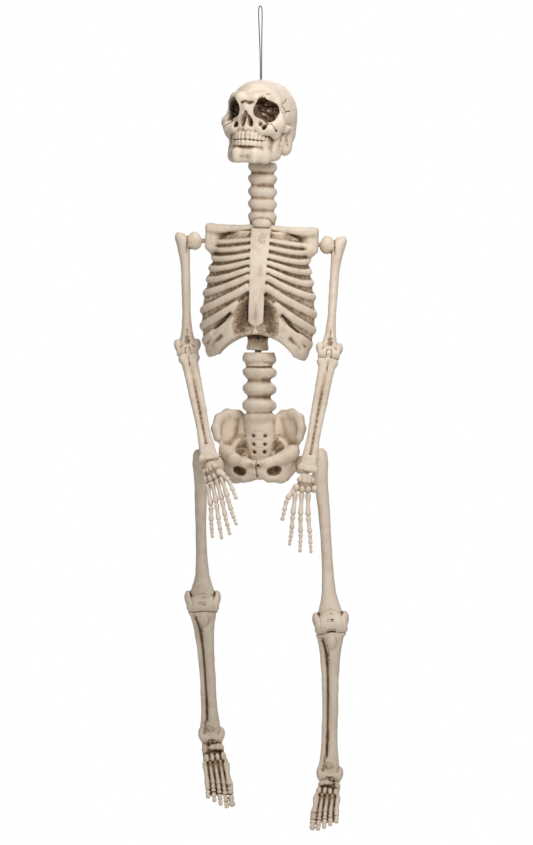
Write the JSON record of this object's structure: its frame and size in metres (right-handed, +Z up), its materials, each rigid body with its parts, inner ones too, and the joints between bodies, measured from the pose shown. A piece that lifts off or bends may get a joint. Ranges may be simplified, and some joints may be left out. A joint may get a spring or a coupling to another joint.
{
  "type": "hanging skeleton figure",
  "caption": "Hanging skeleton decoration of antiqued bone-coloured plastic, with a cord loop at the crown and posable neck, waist, arms, hands, legs and feet.",
  "frame": {"origin": "inside top of the hanging loop", "axes": "+Z up along the loop, +Y to the figure's back, +X to the figure's left"},
  "size_m": [0.2064, 0.2952, 0.9933],
  "materials": {
    "bone": "matte antiqued bone plastic with brown wash in the recesses",
    "skull_bone": "matte antiqued bone plastic, lighter, with dark sockets",
    "peg": "matte moulded plastic",
    "pin": "plain steel",
    "stopper": "matte dark plastic",
    "cord": "dark brown twisted cord"
  },
  "bodies": {
    "head": {"hanging_cord": "cord", "cord_stopper": "stopper", "skull": "skull_bone"},
    "neck_link": {"neck_peg": "peg"},
    "torso": {"rib_cage": "bone"},
    "waist_link": {"waist_peg": "peg"},
    "pelvis": {"pelvis": "bone"},
    "right_shoulder": {"right_shoulder_peg": "peg"},
    "right_upper_arm": {"right_upper_arm": "bone", "right_elbow_pin": "pin"},
    "right_forearm": {"right_forearm": "bone"},
    "right_wrist": {"right_wrist_peg": "peg"},
    "right_hand": {"right_hand": "bone"},
    "right_hip": {"right_hip_peg": "peg"},
    "right_thigh": {"right_thigh": "bone", "right_knee_pin": "pin"},
    "right_lower_leg": {"right_lower_leg": "bone", "right_ankle_pin": "pin"},
    "right_foot": {"right_foot": "bone"},
    "left_shoulder": {"left_shoulder_peg": "peg"},
    "left_upper_arm": {"left_upper_arm": "bone", "left_elbow_pin": "pin"},
    "left_forearm": {"left_forearm": "bone"},
    "left_wrist": {"left_wrist_peg": "peg"},
    "left_hand": {"left_hand": "bone"},
    "left_hip": {"left_hip_peg": "peg"},
    "left_thigh": {"left_thigh": "bone", "left_knee_pin": "pin"},
    "left_lower_leg": {"left_lower_leg": "bone", "left_ankle_pin": "pin"},
    "left_foot": {"left_foot": "bone"}
  },
  "joints": [
    {"name": "head_nod", "type": "hinge", "parent": "head", "child": "neck_link", "pos_m": [0.0018, 0.004, -0.174], "axis": [0.9334, -0.3588, 0], "range_deg": [-12, 12]},
    {"name": "head_turn", "type": "hinge", "parent": "neck_link", "child": "torso", "pos_m": [0.0018, 0.004, -0.174], "axis": [0, 0, 1], "range_deg": [-60, 60]},
    {"name": "waist_turn", "type": "hinge", "parent": "torso", "child": "waist_link", "pos_m": [-0.0036, 0.004, -0.4255], "axis": [0, 0, 1], "range_deg": [-14, 6]},
    {"name": "waist_bend", "type": "hinge", "parent": "waist_link", "child": "pelvis", "pos_m": [-0.0036, 0.004, -0.4255], "axis": [1, 0, 0], "range_deg": [-3, 10]},
    {"name": "right_shoulder_swing", "type": "hinge", "parent": "torso", "child": "right_shoulder", "pos_m": [-0.0795, 0.008, -0.281], "axis": [-1, 0, 0], "range_deg": [0, 110]},
    {"name": "right_shoulder_raise", "type": "hinge", "parent": "right_shoulder", "child": "right_upper_arm", "pos_m": [-0.0795, 0.008, -0.281], "axis": [0, 1, 0], "range_deg": [0, 44]},
    {"name": "right_elbow_bend", "type": "hinge", "parent": "right_upper_arm", "child": "right_forearm", "pos_m": [-0.08834, 0.0311, -0.41193], "axis": [-0.9996, 0.0048, -0.0271], "range_deg": [-2, 54]},
    {"name": "right_wrist_turn", "type": "hinge", "parent": "right_forearm", "child": "right_wrist", "pos_m": [-0.06071, -0.02784, -0.5515], "axis": [-0.1794, 0.3827, 0.9063], "range_deg": [-50, 50]},
    {"name": "right_wrist_bend", "type": "hinge", "parent": "right_wrist", "child": "right_hand", "pos_m": [-0.06071, -0.02784, -0.5515], "axis": [-0.7204, 0.5762, -0.386], "range_deg": [-25, 25]},
    {"name": "right_hip_swing", "type": "hinge", "parent": "pelvis", "child": "right_hip", "pos_m": [-0.0507, 0.01, -0.5504], "axis": [-1, 0, 0], "range_deg": [-30, 60]},
    {"name": "right_hip_spread", "type": "hinge", "parent": "right_hip", "child": "right_thigh", "pos_m": [-0.0507, 0.01, -0.5504], "axis": [0, 1, 0], "range_deg": [0, 34]},
    {"name": "right_knee_bend", "type": "hinge", "parent": "right_thigh", "child": "right_lower_leg", "pos_m": [-0.07039, 0.1055, -0.71579], "axis": [0.9999, -0.006, 0.0105], "range_deg": [0, 74]},
    {"name": "right_ankle_bend", "type": "hinge", "parent": "right_lower_leg", "child": "right_foot", "pos_m": [-0.06006, 0.2005, -0.88001], "axis": [-0.9985, 0.0272, -0.0471], "range_deg": [-15, 18]},
    {"name": "left_shoulder_swing", "type": "hinge", "parent": "torso", "child": "left_shoulder", "pos_m": [0.079, 0.008, -0.286], "axis": [-1, 0, 0], "range_deg": [0, 110]},
    {"name": "left_shoulder_raise", "type": "hinge", "parent": "left_shoulder", "child": "left_upper_arm", "pos_m": [0.079, 0.008, -0.286], "axis": [0, -1, 0], "range_deg": [0, 44]},
    {"name": "left_elbow_bend", "type": "hinge", "parent": "left_upper_arm", "child": "left_forearm", "pos_m": [0.08147, -0.01624, -0.41639], "axis": [-0.9972, 0.0138, 0.0742], "range_deg": [0, 84]},
    {"name": "left_wrist_turn", "type": "hinge", "parent": "left_forearm", "child": "left_wrist", "pos_m": [0.05416, -0.04509, -0.56517], "axis": [-0.1773, -0.1874, -0.9661], "range_deg": [-50, 50]},
    {"name": "left_wrist_bend", "type": "hinge", "parent": "left_wrist", "child": "left_hand", "pos_m": [0.05416, -0.04509, -0.56517], "axis": [-0.9735, -0.1106, 0.2001], "range_deg": [-25, 25]},
    {"name": "left_hip_swing", "type": "hinge", "parent": "pelvis", "child": "left_hip", "pos_m": [0.0493, 0.01, -0.5504], "axis": [-1, 0, 0], "range_deg": [-30, 17]},
    {"name": "left_hip_spread", "type": "hinge", "parent": "left_hip", "child": "left_thigh", "pos_m": [0.0493, 0.01, -0.5504], "axis": [0, -1, 0], "range_deg": [0, 34]},
    {"name": "left_knee_bend", "type": "hinge", "parent": "left_thigh", "child": "left_lower_leg", "pos_m": [0.08394, 0, -0.74072], "axis": [0.9978, 0.0035, 0.0661], "range_deg": [-15, 58]},
    {"name": "left_ankle_bend", "type": "hinge", "parent": "left_lower_leg", "child": "left_foot", "pos_m": [0.08266, 0.04918, -0.92424], "axis": [-1, -0.0017, 0.0065], "range_deg": [-15, 18]}
  ]
}
